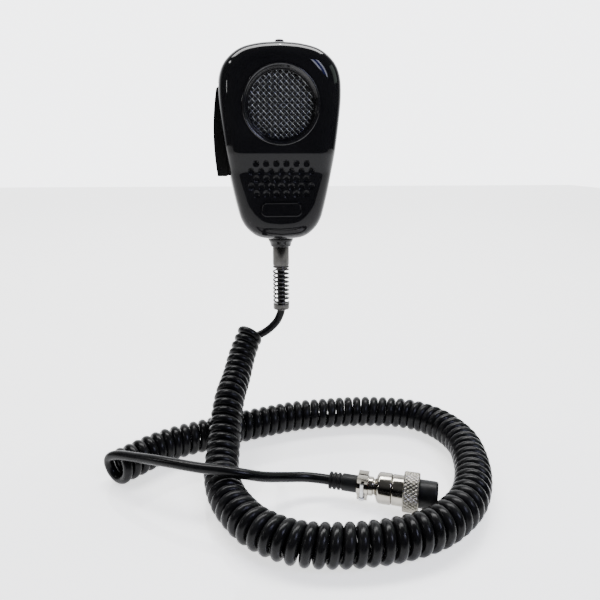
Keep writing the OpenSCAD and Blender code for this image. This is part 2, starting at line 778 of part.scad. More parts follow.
module plug_insert() color([0.05, 0.05, 0.05])
    on_plug() difference() {
        rotate_extrude() polygon([
            [0, insert_back], [insert_r - 0.8, insert_back], [insert_r - 0.8, barrel_end + 0.02],
            [insert_r, barrel_end + 0.02], [insert_r, barrel_end + insert_len - 0.8],
            [insert_r - 0.8, barrel_end + insert_len], [0, barrel_end + insert_len]
        ]);
        for (i = [1 : contact_count]) rotate([0, 0, 360 * (i + 0.5) / contact_count])
            translate([contact_ring, 0, insert_back - 1])
                cylinder(r = contact_r, h = reach, $fn = 32);
        translate([insert_r - 1, -1, barrel_end + 0.3]) cube([3, 2, insert_len]);
    }

module plug_contacts() color([0.8, 0.65, 0.3])
    on_plug() for (i = [1 : contact_count]) rotate([0, 0, 360 * (i + 0.5) / contact_count])
        translate([contact_ring, 0, barrel_end + insert_len - 1 - contact_len]) difference() {
            cylinder(r = contact_r - press_gap, h = contact_len, $fn = 32);
            translate([0, 0, 3]) cylinder(r = 0.75, h = contact_len, $fn = 32);
        }

module plug_wires() color([0.6, 0.3, 0.1])
    on_plug() for (i = [1 : contact_count]) rotate([0, 0, 360 * (i + 0.5) / contact_count])
        tube(spline([
            [1.3, 0, boot_len + 0.4], [1.5, 0, barrel_at], [2.7, 0, insert_back - 2],
            [contact_ring, 0, insert_back + 0.5],
            [contact_ring, 0, barrel_end + insert_len - 1.1 - contact_len]
        ], 2), 0.5, 6);

module plug_set_screw() color([0.4, 0.4, 0.4])
    on_plug(insert_back + 1.2) rotate([0, -90, 0]) difference() {
        translate([0, 0, insert_r - 0.75]) cylinder(r = 0.8 - press_gap, h = 1.25, $fn = 32);
        translate([-1, -0.15, barrel_r - 0.35]) cube([2, 0.3, 1]);
    }

module coupling_nut() color([0.82, 0.82, 0.8]) {
    knurls = 40;
    on_plug(nut_at) difference() {
        rotate_extrude() polygon([
            [barrel_r + clearance, 0], [nut_r - 0.6, 0], [nut_r, 0.6], [nut_r, nut_len - 0.6],
            [nut_r - 0.6, nut_len], [nut_r - nut_wall, nut_len], [nut_r - nut_wall, nut_flange],
            [barrel_r + clearance, nut_flange]
        ]);
        for (i = [1 : knurls]) rotate([0, 0, 360 * i / knurls])
            translate([nut_r + 0.1, 0, nut_len / 2]) rotate([0, 0, 45])
                cube([0.35, 0.35, nut_len - 1.6], center = true);
    }
}

module nut_clip() color([0.45, 0.45, 0.45])
    on_plug(nut_at + nut_flange + 0.1) rotate_extrude()
        translate([barrel_r + run_gap, 0])
            square([nut_r - nut_wall - 0.15 - barrel_r - run_gap, clip_t]);

// ---- the assembly

front_shell();
rear_shell();
grille_ring();
grille_mesh();
foam_screen();
capsule_can();
capsule_gasket();
ptt_bar();
ptt_pivot_pin();
ptt_spring();
switch_body();
switch_plunger();
circuit_board();
board_components();
board_screws();
hookup_wires();
indicator_lamp();
badge_plate();
case_screws();
hang_stud();
hang_stud_screw();
cord_crimp();
cord_gland();
relief_sleeve();
relief_spring();
relief_ferrule();
cord_lead_in();
cord_coil();
cord_lead_out();
plug_boot();
plug_clamp();
clamp_screws();
plug_shell();
plug_sleeve();
plug_insert();
plug_contacts();
plug_wires();
plug_set_screw();
coupling_nut();
nut_clip();
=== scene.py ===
import math

import bmesh
import bpy
from mathutils import Matrix, Vector


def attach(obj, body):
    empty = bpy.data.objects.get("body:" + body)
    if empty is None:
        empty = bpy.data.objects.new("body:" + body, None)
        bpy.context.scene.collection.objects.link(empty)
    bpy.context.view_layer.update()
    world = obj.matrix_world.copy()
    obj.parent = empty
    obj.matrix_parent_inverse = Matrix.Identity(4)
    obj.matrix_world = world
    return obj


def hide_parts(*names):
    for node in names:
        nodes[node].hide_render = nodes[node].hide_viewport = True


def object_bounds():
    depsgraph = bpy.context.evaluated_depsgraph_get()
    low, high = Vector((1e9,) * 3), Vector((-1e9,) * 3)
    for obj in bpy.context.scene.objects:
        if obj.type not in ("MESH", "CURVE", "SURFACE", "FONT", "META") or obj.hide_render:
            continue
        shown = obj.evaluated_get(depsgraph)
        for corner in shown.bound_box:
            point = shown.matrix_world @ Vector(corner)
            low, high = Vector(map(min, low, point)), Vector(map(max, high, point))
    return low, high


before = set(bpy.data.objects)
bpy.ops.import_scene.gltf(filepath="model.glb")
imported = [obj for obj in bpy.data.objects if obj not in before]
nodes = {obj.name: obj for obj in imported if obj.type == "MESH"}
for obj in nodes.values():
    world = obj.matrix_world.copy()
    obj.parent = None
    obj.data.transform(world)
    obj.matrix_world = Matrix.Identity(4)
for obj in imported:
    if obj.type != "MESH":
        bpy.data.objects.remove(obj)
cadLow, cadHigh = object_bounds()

mm = 0.001
print("frame loaded", len(nodes), "nodes")


# small helpers for working by operator

def deselectAll():
    if bpy.context.object and bpy.context.object.mode != "OBJECT":
        bpy.ops.object.mode_set(mode="OBJECT")
    bpy.ops.object.select_all(action="DESELECT")


def pick(piece):
    deselectAll()
    piece.select_set(True)
    bpy.context.view_layer.objects.active = piece


def settle(piece):
    # place and turn go into the mesh, so the object sits at the origin
    pick(piece)
    bpy.ops.object.transform_apply(location=True, rotation=True, scale=True)


def nameIt(name):
    piece = bpy.context.object
    piece.name = name
    piece.data.name = name
    return piece


def mergeAndFace(piece, distance=1e-6):
    pick(piece)
    bpy.ops.object.mode_set(mode="EDIT")
    bpy.ops.mesh.select_all(action="SELECT")
    bpy.ops.mesh.remove_doubles(threshold=distance)
    bpy.ops.mesh.dissolve_degenerate(threshold=distance)
    bpy.ops.mesh.normals_make_consistent(inside=False)
    bpy.ops.object.mode_set(mode="OBJECT")


def smoothIt(piece, degrees=35):
    pick(piece)
    bpy.ops.object.shade_smooth_by_angle(angle=math.radians(degrees))


def applyAll(piece):
    pick(piece)
    for modifier in list(piece.modifiers):
        bpy.ops.object.modifier_apply(modifier=modifier.name)


def softenEdges(piece, width, segments=2, degrees=30):
    bevel = piece.modifiers.new("edges", "BEVEL")
    bevel.width = width
    bevel.segments = segments
    bevel.limit_method = "ANGLE"
    bevel.angle_limit = math.radians(degrees)
    applyAll(piece)


def combine(piece, other, how):
    # boolean with a helper piece, which is used up
    boolean = piece.modifiers.new("combine", "BOOLEAN")
    boolean.operation = how
    boolean.solver = "EXACT"
    boolean.object = other
    pick(piece)
    bpy.ops.object.modifier_apply(modifier=boolean.name)
    bpy.data.objects.remove(other)


def cutWith(piece, cutters):
    for cutter in cutters:
        combine(piece, cutter, "DIFFERENCE")


def joinPieces(pieces, name):
    deselectAll()
    for piece in pieces:
        piece.select_set(True)
    bpy.context.view_layer.objects.active = pieces[0]
    bpy.ops.object.join()
    return nameIt(name)


def barrelAt(name, radius, start, end, vertices=64):
    # round bar between two points, its place in the mesh
    line = end - start
    deselectAll()
    bpy.ops.mesh.primitive_cylinder_add(
        vertices=vertices, radius=radius, depth=line.length, location=(start + end) / 2,
        rotation=line.to_track_quat("Z", "Y").to_euler())
    piece = nameIt(name)
    settle(piece)
    return piece


def boxAt(name, low, high):
    deselectAll()
    bpy.ops.mesh.primitive_cube_add(size=1, location=(low + high) / 2, scale=high - low)
    piece = nameIt(name)
    settle(piece)
    return piece


def mouldGrid(name, columns, rows, place):
    # a grid primitive whose points are laid onto a form, seams and poles closed
    deselectAll()
    bpy.ops.mesh.primitive_grid_add(x_subdivisions=columns, y_subdivisions=rows, size=2)
    piece = nameIt(name)
    for vertex in piece.data.vertices:
        across = (vertex.co.x + 1) / 2
        along = (vertex.co.y + 1) / 2
        vertex.co = place(across, along)
    mergeAndFace(piece)
    return piece


def roundCorners(profile, radius, steps=4):
    # fillets a half section given as (radius, place) rows, or (radius, place, its own fillet)
    out = []
    count = len(profile)
    for i, point in enumerate(profile):
        here = Vector(point[:2])
        size = point[2] if len(point) > 2 else radius
        before = Vector(profile[i - 1][:2]) - here
        after = Vector(profile[(i + 1) % count][:2]) - here
        reach = min(size, before.length * 0.45, after.length * 0.45)
        if reach <= 0 or i in (0, count - 1):
            out.append(here)
            continue
        first = here + before.normalized() * reach
        last = here + after.normalized() * reach
        for k in range(steps + 1):
            t = k / steps
            out.append(first * (1 - t) ** 2 + here * 2 * t * (1 - t) + last * t * t)
    return out


def latheIt(name, profile, origin, axis, steps=96, radius=0.15, closed=True):
    # spins a half section in millimetres about a line, measured along it from origin
    points = roundCorners(profile, radius)
    side = axis.orthogonal().normalized()
    mesh = bpy.data.meshes.new(name)
    coords = [origin + side * (p.x * mm) + axis * (p.y * mm) for p in points]
    edges = [(i, i + 1) for i in range(len(points) - 1)]
    if closed:
        edges.append((len(points) - 1, 0))
    mesh.from_pydata(coords, edges, [])
    piece = bpy.data.objects.new(name, mesh)
    bpy.context.scene.collection.objects.link(piece)
    pick(piece)
    bpy.ops.object.mode_set(mode="EDIT")
    bpy.ops.mesh.select_all(action="SELECT")
    bpy.ops.mesh.spin(steps=steps, angle=2 * math.pi, center=origin, axis=axis)
    bpy.ops.object.mode_set(mode="OBJECT")
    mergeAndFace(piece, 1e-7)
    smoothIt(piece, 40)
    return piece


def wireAlong(name, points, radius, sides=3):
    # one open spline with a round section
    curve = bpy.data.curves.new(name, "CURVE")
    curve.dimensions = "3D"
    curve.bevel_depth = radius
    curve.bevel_resolution = sides
    curve.use_fill_caps = True
    spline = curve.splines.new("POLY")
    spline.points.add(len(points) - 1)
    for spot, point in zip(spline.points, points):
        spot.co = (*point, 1)
    piece = bpy.data.objects.new(name, curve)
    bpy.context.scene.collection.objects.link(piece)
    return piece


def wireMesh(name, points, radius, sides=3):
    piece = wireAlong(name, points, radius, sides)
    pick(piece)
    bpy.ops.object.convert(target="MESH")
    piece = nameIt(name)
    smoothIt(piece, 60)
    return piece


def easeThrough(points, steps):
    # Catmull-Rom line through given points
    out = []
    for i in range(len(points) - 1):
        a, b = points[max(i - 1, 0)], points[i]
        c, d = points[i + 1], points[min(i + 2, len(points) - 1)]
        for k in range(steps):
            t = k / steps
            out.append(0.5 * (2 * b + (c - a) * t + (2 * a - 5 * b + 4 * c - d) * t * t
                              + (3 * b - a - 3 * c + d) * t ** 3))
    out.append(points[-1])
    return out


# materials

def newMaterial(name):
    material = bpy.data.materials.new(name)
    material.use_nodes = True
    tree = material.node_tree
    shader = tree.nodes["Principled BSDF"]
    return material, tree, shader


def noiseNode(tree, coords, scale, detail=4.0, roughness=0.55, stretch=(1, 1, 1)):
    mapping = tree.nodes.new("ShaderNodeMapping")
    mapping.inputs["Scale"].default_value = stretch
    noise = tree.nodes.new("ShaderNodeTexNoise")
    noise.inputs["Scale"].default_value = scale
    noise.inputs["Detail"].default_value = detail
    noise.inputs["Roughness"].default_value = roughness
    tree.links.new(coords.outputs["Object"], mapping.inputs["Vector"])
    tree.links.new(mapping.outputs["Vector"], noise.inputs["Vector"])
    return noise


def rangeNode(tree, source, low, high, fromLow=0.3, fromHigh=0.7):
    ranged = tree.nodes.new("ShaderNodeMapRange")
    ranged.inputs["From Min"].default_value = fromLow
    ranged.inputs["From Max"].default_value = fromHigh
    ranged.inputs["To Min"].default_value = low
    ranged.inputs["To Max"].default_value = high
    tree.links.new(source, ranged.inputs["Value"])
    return ranged


def colourRamp(tree, source, dark, light, low=0.3, high=0.7):
    ramp = tree.nodes.new("ShaderNodeValToRGB")
    ramp.color_ramp.elements[0].position = low
    ramp.color_ramp.elements[0].color = (*dark, 1)
    ramp.color_ramp.elements[1].position = high
    ramp.color_ramp.elements[1].color = (*light, 1)
    tree.links.new(source, ramp.inputs["Fac"])
    return ramp


def bumpNode(tree, shader, height, strength, distance):
    bump = tree.nodes.new("ShaderNodeBump")
    bump.inputs["Strength"].default_value = strength
    bump.inputs["Distance"].default_value = distance
    tree.links.new(height, bump.inputs["Height"])
    tree.links.new(bump.outputs["Normal"], shader.inputs["Normal"])
    return bump


def finishOf(name, dark, light, rough, metallic=0.0, coat=0.0, grain=900.0, bump=0.08,
             bumpDepth=0.00004, wear=60.0, stretch=(1, 1, 1), specular=0.5):
    # colour drift, roughness drift and a fine surface grain, all from object coordinates
    material, tree, shader = newMaterial(name)
    coords = tree.nodes.new("ShaderNodeTexCoord")
    broad = noiseNode(tree, coords, wear, 5.0)
    fine = noiseNode(tree, coords, grain, 3.0, 0.6, stretch)
    colour = colourRamp(tree, broad.outputs["Fac"], dark, light)
    tree.links.new(colour.outputs["Color"], shader.inputs["Base Color"])
    roughness = rangeNode(tree, broad.outputs["Fac"], rough[0], rough[1])
    tree.links.new(roughness.outputs["Result"], shader.inputs["Roughness"])
    shader.inputs["Metallic"].default_value = metallic
    shader.inputs["Specular IOR Level"].default_value = specular
    shader.inputs["Coat Weight"].default_value = coat
    shader.inputs["Coat Roughness"].default_value = 0.03
    bumpNode(tree, shader, fine.outputs["Fac"], bump, bumpDepth)
    return material


blackGloss = finishOf("polishedBlackAbs", (0.004, 0.004, 0.0045), (0.006, 0.006, 0.0065),
                      (0.03, 0.065), grain=2500, bump=0.01, bumpDepth=0.00001, wear=45,
                      specular=0.13)
blackRear = finishOf("rearBlackAbs", (0.005, 0.005, 0.0055), (0.008, 0.008, 0.0085),
                     (0.06, 0.12), grain=2500, bump=0.02, bumpDepth=0.00001, wear=45,
                     specular=0.08)
ringGloss = finishOf("ringBlack", (0.006, 0.006, 0.0065), (0.01, 0.01, 0.0105), (0.08, 0.14),
                     grain=2500, bump=0.02, bumpDepth=0.00001, wear=45, specular=0.3)
blackBar = finishOf("handledBlackBar", (0.004, 0.004, 0.004), (0.008, 0.008, 0.008),
                    (0.07, 0.15), grain=1800, bump=0.03, bumpDepth=0.00001, wear=70,
                    specular=0.2)
# two copies of one wire steel for the two wire families: the darker copy is painted shade, the
# lighter copy a painted highlight
wireSteelPaintedShade = finishOf("meshWirePaintedShade", (0.06, 0.064, 0.066), (0.12, 0.125, 0.128), (0.24, 0.4),
                     metallic=1.0, grain=1600, bump=0.12, bumpDepth=0.00002, wear=300)
wireSteelPaintedHighlight = finishOf("meshWirePaintedHighlight", (0.17, 0.18, 0.185), (0.3, 0.312, 0.316), (0.2, 0.34),
                      metallic=1.0, grain=1600, bump=0.12, bumpDepth=0.00002, wear=300)
cordBlack = finishOf("cordJacket", (0.003, 0.003, 0.0032), (0.006, 0.006, 0.0064), (0.2, 0.32),
                     grain=1400, bump=0.1, bumpDepth=0.00003, wear=110, specular=0.13)
bootBlack = finishOf("bootRubber", (0.004, 0.004, 0.004), (0.009, 0.009, 0.009), (0.34, 0.5),
                     grain=1100, bump=0.2, bumpDepth=0.00004, wear=150, specular=0.14)
nickel = finishOf("barrelNickel", (0.26, 0.245, 0.215), (0.38, 0.36, 0.32), (0.1, 0.2),
                  metallic=1.0, grain=1500, bump=0.06, bumpDepth=0.00002, wear=160)
knurlNickel = finishOf("knurlNickel", (0.17, 0.162, 0.14), (0.34, 0.322, 0.28), (0.26, 0.38),
                       metallic=1.0, grain=1500, bump=0.1, bumpDepth=0.00002, wear=300)
# a darkened copy of the nickel for the strain relief pieces: painted shade, much darker than the
# barrels' nickel
reliefNickelPaintedShade = finishOf("reliefNickelPaintedShade", (0.04, 0.039, 0.037), (0.075, 0.073, 0.07), (0.14, 0.24),
                        metallic=1.0, grain=1500, bump=0.1, bumpDepth=0.00002, wear=240)
screwSteel = finishOf("zincScrew", (0.36, 0.36, 0.37), (0.56, 0.56, 0.58), (0.25, 0.42),
                      metallic=1.0, grain=900, bump=0.1, wear=300)
brass = finishOf("pressedBrass", (0.5, 0.34, 0.12), (0.72, 0.52, 0.22), (0.2, 0.38),
                 metallic=1.0, grain=900, bump=0.1, wear=300)
insertBlack = finishOf("insertPhenolic", (0.004, 0.004, 0.004), (0.008, 0.008, 0.0084),
                       (0.3, 0.46), grain=1700, bump=0.1, bumpDepth=0.00002, wear=180,
                       specular=0.14)
foamBlack = finishOf("windFoam", (0.004, 0.004, 0.004), (0.02, 0.02, 0.02), (0.85, 0.98),
                     grain=1300, bump=0.9, bumpDepth=0.0003, wear=900)
boardGreen = finishOf("solderMask", (0.01, 0.09, 0.035), (0.02, 0.14, 0.06), (0.3, 0.45),
                      grain=700, bump=0.1, wear=220)
mouldedDark = finishOf("mouldedDark", (0.02, 0.02, 0.021), (0.04, 0.04, 0.042), (0.4, 0.6),
                       grain=1300, bump=0.15, wear=220)
mouldedPale = finishOf("mouldedPale", (0.6, 0.59, 0.55), (0.74, 0.73, 0.69), (0.4, 0.55),
                       grain=1300, bump=0.1, wear=220)
wireRed = finishOf("wireInsulation", (0.3, 0.03, 0.025), (0.45, 0.05, 0.04), (0.35, 0.5),
                   grain=900, bump=0.1, wear=300)
aluminium = finishOf("drawnCan", (0.55, 0.56, 0.57), (0.7, 0.71, 0.72), (0.25, 0.4),
                     metallic=1.0, grain=700, bump=0.1, wear=160, stretch=(1, 6, 1))
lampTint = finishOf("lampLens", (0.03, 0.022, 0.022), (0.05, 0.034, 0.034), (0.1, 0.2),
                    grain=1500, bump=0.01, bumpDepth=0.00001, wear=300)
print("materials ready")


def dress(piece, material):
    piece.data.materials.clear()
    piece.data.materials.append(material)


def stands(piece, nodeName, body, material):
    # the piece stands for a CAD node and rides on its body
    if material:
        dress(piece, material)
    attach(piece, body)
    if nodeName:
        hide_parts(nodeName)


# camera, where the microphone and the lying coil line up as they are seen
view = {"place": (-13.4, -330.4, -22.1), "pitch": 15.13, "turn": -4.5, "lens": 32.4,
        "sensor": 36, "near": 10}
camera = bpy.data.objects.new("viewCamera", bpy.data.cameras.new("viewCamera"))
bpy.context.scene.collection.objects.link(camera)
camera.location = Vector(view["place"]) * mm
camera.rotation_euler = (math.radians(90 - view["pitch"]), 0, math.radians(view["turn"]))
camera.data.sensor_width = view["sensor"]
camera.data.lens = view["lens"]
camera.data.clip_start = view["near"] * mm
bpy.context.scene.camera = camera

# plug: where its boot starts and which way it points
plug = {"at": (17.5, -113.0, -167.4), "turn": -19.5}
plugStart = Vector(plug["at"]) * mm
plugAxis = Vector((math.cos(math.radians(plug["turn"])), math.sin(math.radians(plug["turn"])), 0))

# cord: the same points as the CAD, in metres
cord = {"radius": 2.35 * mm, "coilRadius": 6.25 * mm, "hangRadius": 5.6 * mm, "pitch": 5.0 * mm,
        "perTurn": 20, "phase": 0.6, "hand": -1, "cutStart": 6, "cutEnd": 2, "cutTail": 8,
        "stretched": 0.24, "lineSteps": 6, "routeSteps": 30, "joinSteps": 12,
        "pullIn": 5.5 * mm, "pullOut": 8.5 * mm}
leadIn = [
    (0, -0.017, -0.0605), (0, -0.017, -0.0696), (0, -0.017, -0.0866), (0, -0.017, -0.0976),
    (0, -0.017, -0.1121), (-0.0016, -0.017, -0.1177)]
coilRoute = [
    (-0.018, -0.021, -0.124), (-0.0235, -0.032, -0.1345), (-0.027, -0.048, -0.143),
    (-0.03, -0.064, -0.1475), (-0.0315, -0.0775, -0.1545), (-0.0325, -0.0925, -0.163),
    (-0.0325, -0.1055, -0.1669), (-0.0295, -0.12, -0.1676), (-0.024, -0.1325, -0.1676),
    (-0.0155, -0.144, -0.1676), (-0.0015, -0.153, -0.1676), (0.015, -0.156, -0.1676),
    (0.033, -0.1555, -0.1676), (0.049, -0.152, -0.1676), (0.062, -0.1455, -0.1676),
    (0.0745, -0.134, -0.1676), (0.083, -0.1195, -0.1676), (0.0885, -0.103, -0.1676),
    (0.091, -0.0855, -0.1676), (0.0875, -0.069, -0.1676), (0.08, -0.0575, -0.1676),
    (0.07, -0.0505, -0.1676), (0.057, -0.047, -0.1676), (0.04, -0.0455, -0.1676),
    (0.023, -0.0465, -0.1676), (0.0065, -0.0485, -0.1676), (-0.01, -0.0535, -0.1676),
    (-0.0285, -0.0605, -0.1676), (-0.047, -0.068, -0.1676), (-0.059, -0.0735, -0.1676),
    (-0.068, -0.08, -0.1676), (-0.0755, -0.0875, -0.1676), (-0.0835, -0.0955, -0.1676)]
leadOut = [
    (-0.084, -0.092, -0.1614), (-0.0745, -0.0995, -0.1592), (-0.064, -0.106, -0.1572),
    (-0.0535, -0.1115, -0.1562), (-0.042, -0.1165, -0.1558), (-0.031, -0.12, -0.1556),
    (-0.022, -0.1205, -0.1574), (-0.013, -0.118, -0.161), (-0.0025, -0.1135, -0.1646),
    (0.0075, -0.111, -0.1668)]


def lineLength(points):
    return sum((b - a).length for a, b in zip(points, points[1:]))


def evenly(points, count):
    # the same line with evenly spaced points
    gaps = [(b - a).length for a, b in zip(points, points[1:])]
    step = sum(gaps) / (count - 1)
    out = [points[0]]
    walked, i = 0.0, 0
    for k in range(1, count - 1):
        want = k * step
        while walked + gaps[i] < want:
            walked += gaps[i]
            i += 1
        out.append(points[i].lerp(points[i + 1], (want - walked) / gaps[i]))
    out.append(points[-1])
    return out


def curlAlong(route):
    # helix about the route, its section carried along without twist
    middle = easeThrough([Vector(p) for p in route], cord["routeSteps"])
    turns = lineLength(middle) / cord["pitch"]
    count = round(turns * cord["perTurn"]) + 1
    middle = evenly(middle, count)
    side = None
    out = []
    for i, point in enumerate(middle):
        ahead = (middle[min(i + 1, count - 1)] - middle[max(i - 1, 0)]).normalized()
        if side is None:
            side = ahead.cross(Vector((0, 1, 0))).normalized()
        side = (side - ahead * side.dot(ahead)).normalized()
        other = ahead.cross(side)
        angle = cord["phase"] + cord["hand"] * 2 * math.pi * i / cord["perTurn"]
        slack = min(1, i / (cord["stretched"] * count))
        radius = cord["hangRadius"] + (cord["coilRadius"] - cord["hangRadius"]) * slack
        out.append(point + radius * (side * math.cos(angle) + other * math.sin(angle)))
    return out


def bridge(start, startDirection, end, endDirection, pull, count):
    # smooth join between two ends of cord
    out = []
    a, d = start + startDirection * pull, end - endDirection * pull
    for k in range(1, count):
        t = k / count
        s = 1 - t
        out.append(start * s ** 3 + a * 3 * s * s * t + d * 3 * s * t * t + end * t ** 3)
    return out


curl = curlAlong(coilRoute)
headLine = easeThrough([Vector(p) for p in leadIn], cord["lineSteps"])
tailPoints = [Vector(p) for p in leadOut] + [plugStart + plugAxis * s * mm for s in (0, 5, 12)]
tailLine = easeThrough(tailPoints, cord["lineSteps"])[cord["cutTail"]:]
curlUsed = curl[cord["cutStart"]:len(curl) - cord["cutEnd"]]
joinIn = bridge(headLine[-1], (headLine[-1] - headLine[-2]).normalized(),
                curlUsed[0], (curlUsed[1] - curlUsed[0]).normalized(),
                cord["pullIn"], cord["joinSteps"])
joinOut = bridge(curlUsed[-1], (curlUsed[-1] - curlUsed[-2]).normalized(),
                 tailLine[0], (tailLine[1] - tailLine[0]).normalized(),
                 cord["pullOut"], cord["joinSteps"])
cordLine = headLine + joinIn + curlUsed + joinOut + tailLine
cordPiece = wireAlong("curlyCord", cordLine, cord["radius"], 5)
stands(cordPiece, None, "mic", cordBlack)
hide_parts("cord_lead_in", "cord_coil", "cord_lead_out")
print("cord", round(lineLength(cordLine), 3), "m,", round(len(curl) / cord["perTurn"]), "turns")

# stage: a pale glossy table that runs past the camera in front and far out behind
stage = {"drop": 0.2, "width": 3200, "front": -560, "back": 2400, "rough": 0.05, "glow": 1.5,
         "ior": 1.9}
deselectAll()
bpy.ops.mesh.primitive_plane_add(
    size=1, location=(0, (stage["front"] + stage["back"]) / 2 * mm,
                      cadLow.z - stage["drop"] * mm))
floor = nameIt("paleTable")
floor.scale = (stage["width"] * mm, (stage["back"] - stage["front"]) * mm, 1)
settle(floor)
floorLook, floorTree, floorShader = newMaterial("paleTable")
floorShader.inputs["Base Color"].default_value = (0.92, 0.92, 0.92, 1)
floorShader.inputs["Roughness"].default_value = stage["rough"]
floorShader.inputs["IOR"].default_value = stage["ior"]
floorShader.inputs["Emission Color"].default_value = (1, 1, 1, 1)
floorShader.inputs["Emission Strength"].default_value = stage["glow"]
dress(floor, floorLook)


def softBox(name, place, target, size, power, tint=(1, 1, 1)):
    light = bpy.data.lights.new(name, "AREA")
    light.shape = "RECTANGLE"
    light.size, light.size_y = size
    light.energy = power
    light.color = tint
    lamp = bpy.data.objects.new(name, light)
    bpy.context.scene.collection.objects.link(lamp)
    lamp.location = place
    lamp.rotation_euler = (Vector(target) - Vector(place)).to_track_quat("-Z", "Y").to_euler()
    return lamp


# powers in watts, places in metres; the windows are what the upper right of the shell mirrors
lights = {"back": 54, "window": 1.2, "middle": 0.3, "side": 0.25, "patch": 0.6, "point": 0.7,
          "glint": 0.3, "windowAim": (0.02, -0.02, 0.01), "windowTint": (0.78, 0.8, 1),
          "middleTint": (0.12, 0.16, 1), "patchTint": (0.85, 1, 0.9)}
softBox("backLight", (-0.05, 0.5, 1.4), (0, -0.1, -0.15), (2, 0.5), lights["back"])
softBox("windowLeft", (0.22, -0.49, 0.3), lights["windowAim"], (0.05, 0.16),
        lights["window"] / 2, lights["windowTint"])
softBox("windowMiddle", (0.28, -0.46, 0.31), lights["windowAim"], (0.09, 0.22),
        lights["middle"], lights["middleTint"])
softBox("windowRight", (0.34, -0.42, 0.32), lights["windowAim"], (0.06, 0.26),
        lights["window"], lights["windowTint"])
softBox("patch", (0.6, -0.02, 0.3), (0.02, -0.02, 0), (0.3, 0.3), lights["patch"],
        lights["patchTint"])
softBox("point", (0.02, 0.14, 0.52), (0, -0.02, 0.03), (0.03, 0.03), lights["point"])
softBox("side", (-0.5, -0.2, 0.12), (-0.034, -0.02, 0.01), (0.02, 0.09), lights["side"])
softBox("glint", (-0.4, 0.02, 0.4), (-0.02, -0.02, 0.02), (0.08, 0.03), lights["glint"])

# world: white to the eye, and for reflections bright behind, faint above, dark in front
sky = {"seen": 4.6, "front": 0.004, "back": 2.4, "top": 0.12, "tint": (0.97, 0.98, 1)}
world = bpy.data.worlds.new("studio")
bpy.context.scene.world = world
world.use_nodes = True
worldTree = world.node_tree
background = worldTree.nodes["Background"]
coordsNode = worldTree.nodes.new("ShaderNodeTexCoord")
parts = worldTree.nodes.new("ShaderNodeSeparateXYZ")
worldTree.links.new(coordsNode.outputs["Generated"], parts.inputs["Vector"])
behind = rangeNode(worldTree, parts.outputs["Y"], sky["front"], sky["back"], 0.35, 0.98)
behind.interpolation_type = "SMOOTHSTEP"
above = rangeNode(worldTree, parts.outputs["Z"], 0, sky["top"], 0.35, 0.85)
above.interpolation_type = "SMOOTHSTEP"
both = worldTree.nodes.new("ShaderNodeMath")
both.operation = "MAXIMUM"
worldTree.links.new(behind.outputs["Result"], both.inputs[0])
worldTree.links.new(above.outputs["Result"], both.inputs[1])
rayNode = worldTree.nodes.new("ShaderNodeLightPath")
choose = worldTree.nodes.new("ShaderNodeMix")
choose.inputs["B"].default_value = sky["seen"]
worldTree.links.new(rayNode.outputs["Is Camera Ray"], choose.inputs["Factor"])
worldTree.links.new(both.outputs["Value"], choose.inputs["A"])
worldTree.links.new(choose.outputs["Result"], background.inputs["Strength"])
background.inputs["Color"].default_value = (*sky["tint"], 1)
print("stage ready")

# shells: one closed surface each, meeting at the parting line
shell = {"width": 66.6, "height": 105, "bottom": -70, "parting": -17, "wall": 2.2,
         "frontDepth": 19, "frontEdge": 11, "backDepth": 14, "backEdge": 9, "draft": 0.8,
         "panelSet": 3.2, "bandTop": -22, "bandBottom": -31, "topSoft": 0.35, "bottomSoft": 0.6,
         "rim": 0.3, "rimShare": 0.6, "grilleZ": 2.5, "bore": 19.5}
# what is cut through them: radii, and how far each cutter reaches
opening = {"slotLow": (-45, -23.4, -34.6), "slotHigh": (-24.7, -10.6, 14.8),
           "gland": 7.5, "glandZ": (-90, -69), "neck": 6.4, "neckZ": (-75, -55),
           "lamp": 1.8, "lampY": -22, "lampZ": (27, 45), "screw": 3, "screwY": (-11, 5),
           "screws": ((-21.5, 24), (21.5, 24), (-15, -56), (15, -56))}
halfOutline = [
    (0, 0), (0.36, 0.013), (0.56, 0.053), (0.68, 0.107), (0.745, 0.175), (0.83, 0.3),
    (0.915, 0.46), (0.98, 0.64), (1, 0.755), (0.972, 0.845), (0.865, 0.912), (0.64, 0.967),
    (0.34, 0.992), (0, 1)]
middleZ = shell["bottom"] + shell["height"] / 2


def outlineShares(count):
    # evenly spaced points round the outline, as shares of half width and height
    right = easeThrough([Vector((x * shell["width"] / 2, z * shell["height"], 0))
                         for x, z in halfOutline], 12)
    left = [Vector((-p.x, p.y, 0)) for p in reversed(right[:-1])]
    points = evenly(right + left, count + 1)
    return [(p.x * 2 / shell["width"], p.y / shell["height"]) for p in points]


def outlineAt(share, inset):
    return Vector((share[0] * (shell["width"] / 2 - inset), 0,
                   middleZ + (share[1] - 0.5) * (shell["height"] - 2 * inset)))


def smoothMax(a, b, soft):
    h = max(soft - abs(a - b), 0) / soft
    return max(a, b) + h * h * soft / 4


grip = {"radius": 1.6, "soft": 0.35, "deep": 0.6, "pitchX": 5.4, "pitchZ": 4, "firstZ": -31.2,
        "rows": 5, "blend": 0.15, "within": 5}


def facePlane(z):
    # how far behind the upper face the band and the lower panel lie
    fall = (shell["bandTop"] - z) / (shell["bandTop"] - shell["bandBottom"]) * shell["panelSet"]
    band = smoothMax(fall, 0, shell["topSoft"])
    return -smoothMax(-band, -shell["panelSet"], shell["bottomSoft"])


